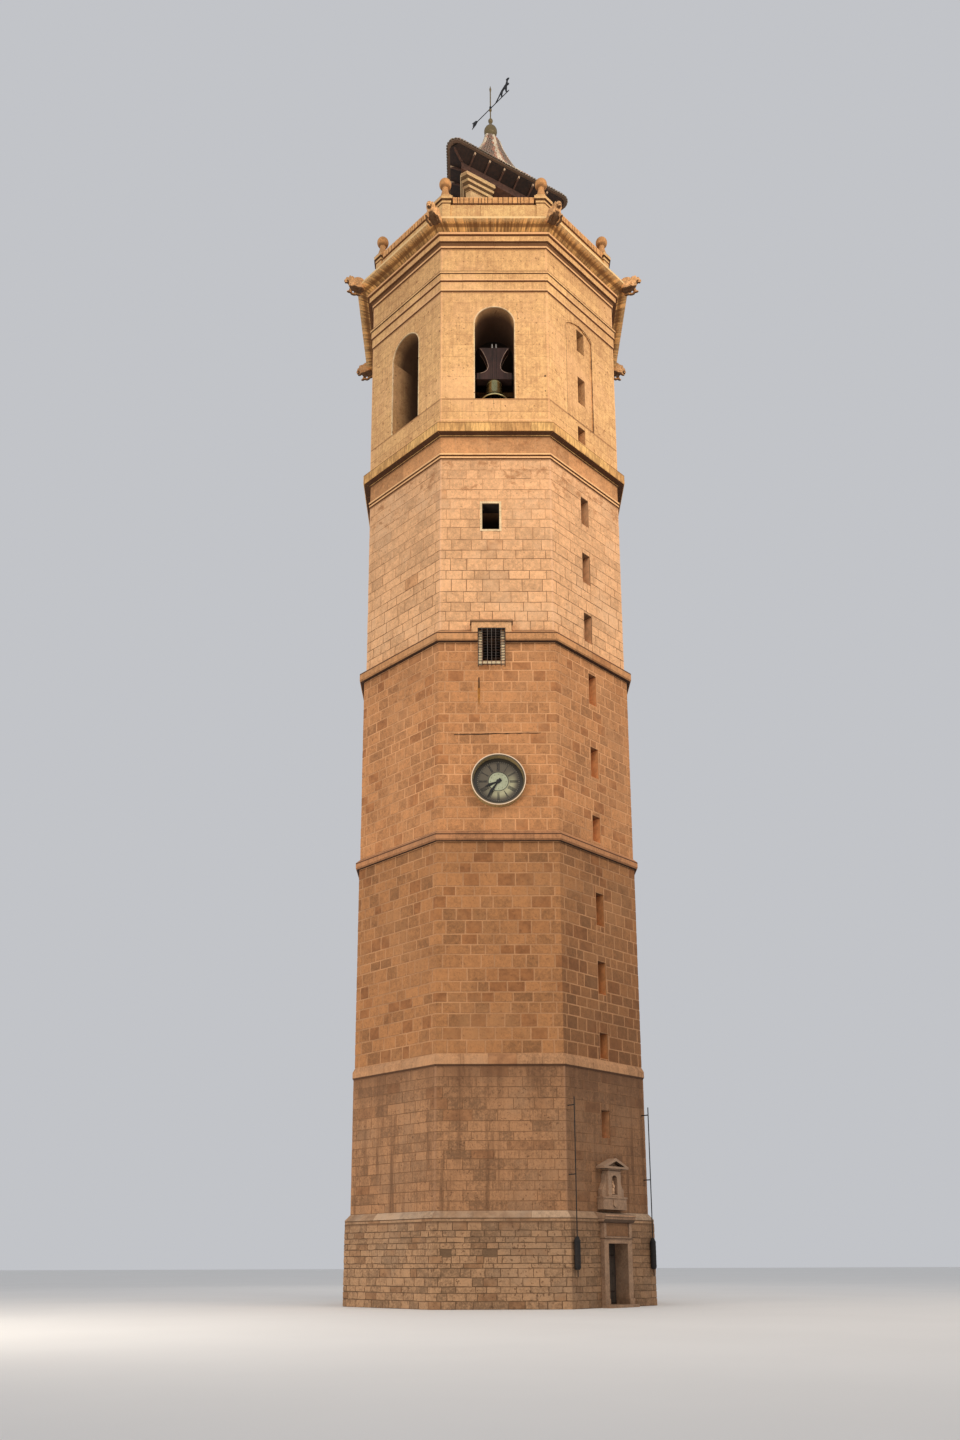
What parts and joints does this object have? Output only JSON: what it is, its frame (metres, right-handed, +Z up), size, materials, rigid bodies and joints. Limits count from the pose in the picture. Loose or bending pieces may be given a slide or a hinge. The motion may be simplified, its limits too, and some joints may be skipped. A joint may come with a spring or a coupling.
{
  "type": "bell tower, scale model at 1:2",
  "caption": "Octagonal stone bell tower with a clock, arched bell stage, terrace with a parapet and three-sided pavilion.",
  "frame": {"origin": "centre of the tower on the ground, at the underside of the plinth", "axes": "+Z up, -Y out of the clock front, the doorway on the slanting side between +X and -Y"},
  "size_m": [7.1268, 7.1268, 31.37],
  "materials": {
    "plinth_stone": "rough stone",
    "lower_stone": "rough stone",
    "middle_stone": "rough stone",
    "clock_stage_stone": "rough stone",
    "upper_stone": "rough stone",
    "bell_stage_stone": "smooth stone",
    "moulding_stone": "weathered stone",
    "floor_stone": "rough stone",
    "doorway_stone": "dressed stone",
    "terracotta": "fired clay",
    "pavilion_stone": "rendered stone",
    "roof_tiles": "glazed tiles",
    "timber": "weathered",
    "iron": "dark",
    "bronze": "patinated",
    "painted_dial": "painted",
    "painted_finial": "painted"
  },
  "bodies": {
    "tower": {"architrave": "moulding_stone", "bell_arches_axial": "bell_stage_stone", "bell_arches_diagonal": "bell_stage_stone", "bell_bearings": "iron", "bell_stage_piers": "bell_stage_stone", "bell_stage_sill_walls": "bell_stage_stone", "blind_arch_infill": "bell_stage_stone", "cavetto": "moulding_stone", "clock_dial": "painted_dial", "clock_ring": "doorway_stone", "corner_balls": "terracotta", "corona": "moulding_stone", "door_cornice": "doorway_stone", "door_lintel_wall": "plinth_stone", "door_niche": "doorway_stone", "door_pivots": "iron", "door_step": "doorway_stone", "door_surround": "doorway_stone", "eaves_boards": "timber", "eaves_struts": "timber", "floors": "floor_stone", "frieze": "bell_stage_stone", "gargoyles": "moulding_stone", "parapet_coping": "moulding_stone", "parapet_pedestals": "moulding_stone", "parapet_walls": "upper_stone", "pavilion_capitals": "pavilion_stone", "pavilion_lintels": "timber", "pavilion_piers": "pavilion_stone", "pavilion_roof": "roof_tiles", "pedestal_caps": "moulding_stone", "plinth_walls": "plinth_stone", "plinth_weathering": "plinth_stone", "roof_finial": "painted_finial", "stage_1_walls": "lower_stone", "stage_2_walls": "middle_stone", "stage_3_walls": "clock_stage_stone", "stage_4_walls": "upper_stone", "string_course_1": "moulding_stone", "string_course_2": "moulding_stone", "string_course_3": "moulding_stone", "string_course_4": "moulding_stone", "upper_window_surround": "doorway_stone", "wall_rods": "iron", "window_cage_frame": "iron", "window_hood": "moulding_stone"},
    "door": {"door_leaf": "timber"},
    "swinging_bell": {"bell": "bronze", "bell_yoke": "timber"},
    "clapper": {"bell_clapper": "iron"},
    "hour": {"hour_hand": "iron"},
    "minute": {"minute_hand": "iron"},
    "vane": {"weather_vane": "iron"}
  },
  "joints": [
    {"name": "door_hinge", "type": "hinge", "parent": "tower", "child": "door", "pos_m": [1.74938, -2.17718, 0.6], "axis": [0, 0, 1], "range_deg": [0, 88]},
    {"name": "bell_swing", "type": "hinge", "parent": "tower", "child": "swinging_bell", "pos_m": [0, -2.35, 20.058], "axis": [1, 0, 0], "continuous": true},
    {"name": "clapper_swing", "type": "hinge", "parent": "swinging_bell", "child": "clapper", "pos_m": [0, -2.35, 19.828], "axis": [1, 0, 0], "range_deg": [-22, 22]},
    {"name": "hour_turn", "type": "hinge", "parent": "tower", "child": "hour", "pos_m": [0.01, -2.9, 10.12], "axis": [0, 1, 0], "continuous": true},
    {"name": "minute_turn", "type": "hinge", "parent": "tower", "child": "minute", "pos_m": [0.01, -2.9, 10.12], "axis": [0, 1, 0], "continuous": true},
    {"name": "vane_turn", "type": "hinge", "parent": "tower", "child": "vane", "pos_m": [0, 0, 30.6], "axis": [0, 0, 1], "continuous": true}
  ],
  "couplings": [
    {"joint": "hour_turn", "follows": "minute_turn", "ratio": 0.083333}
  ]
}
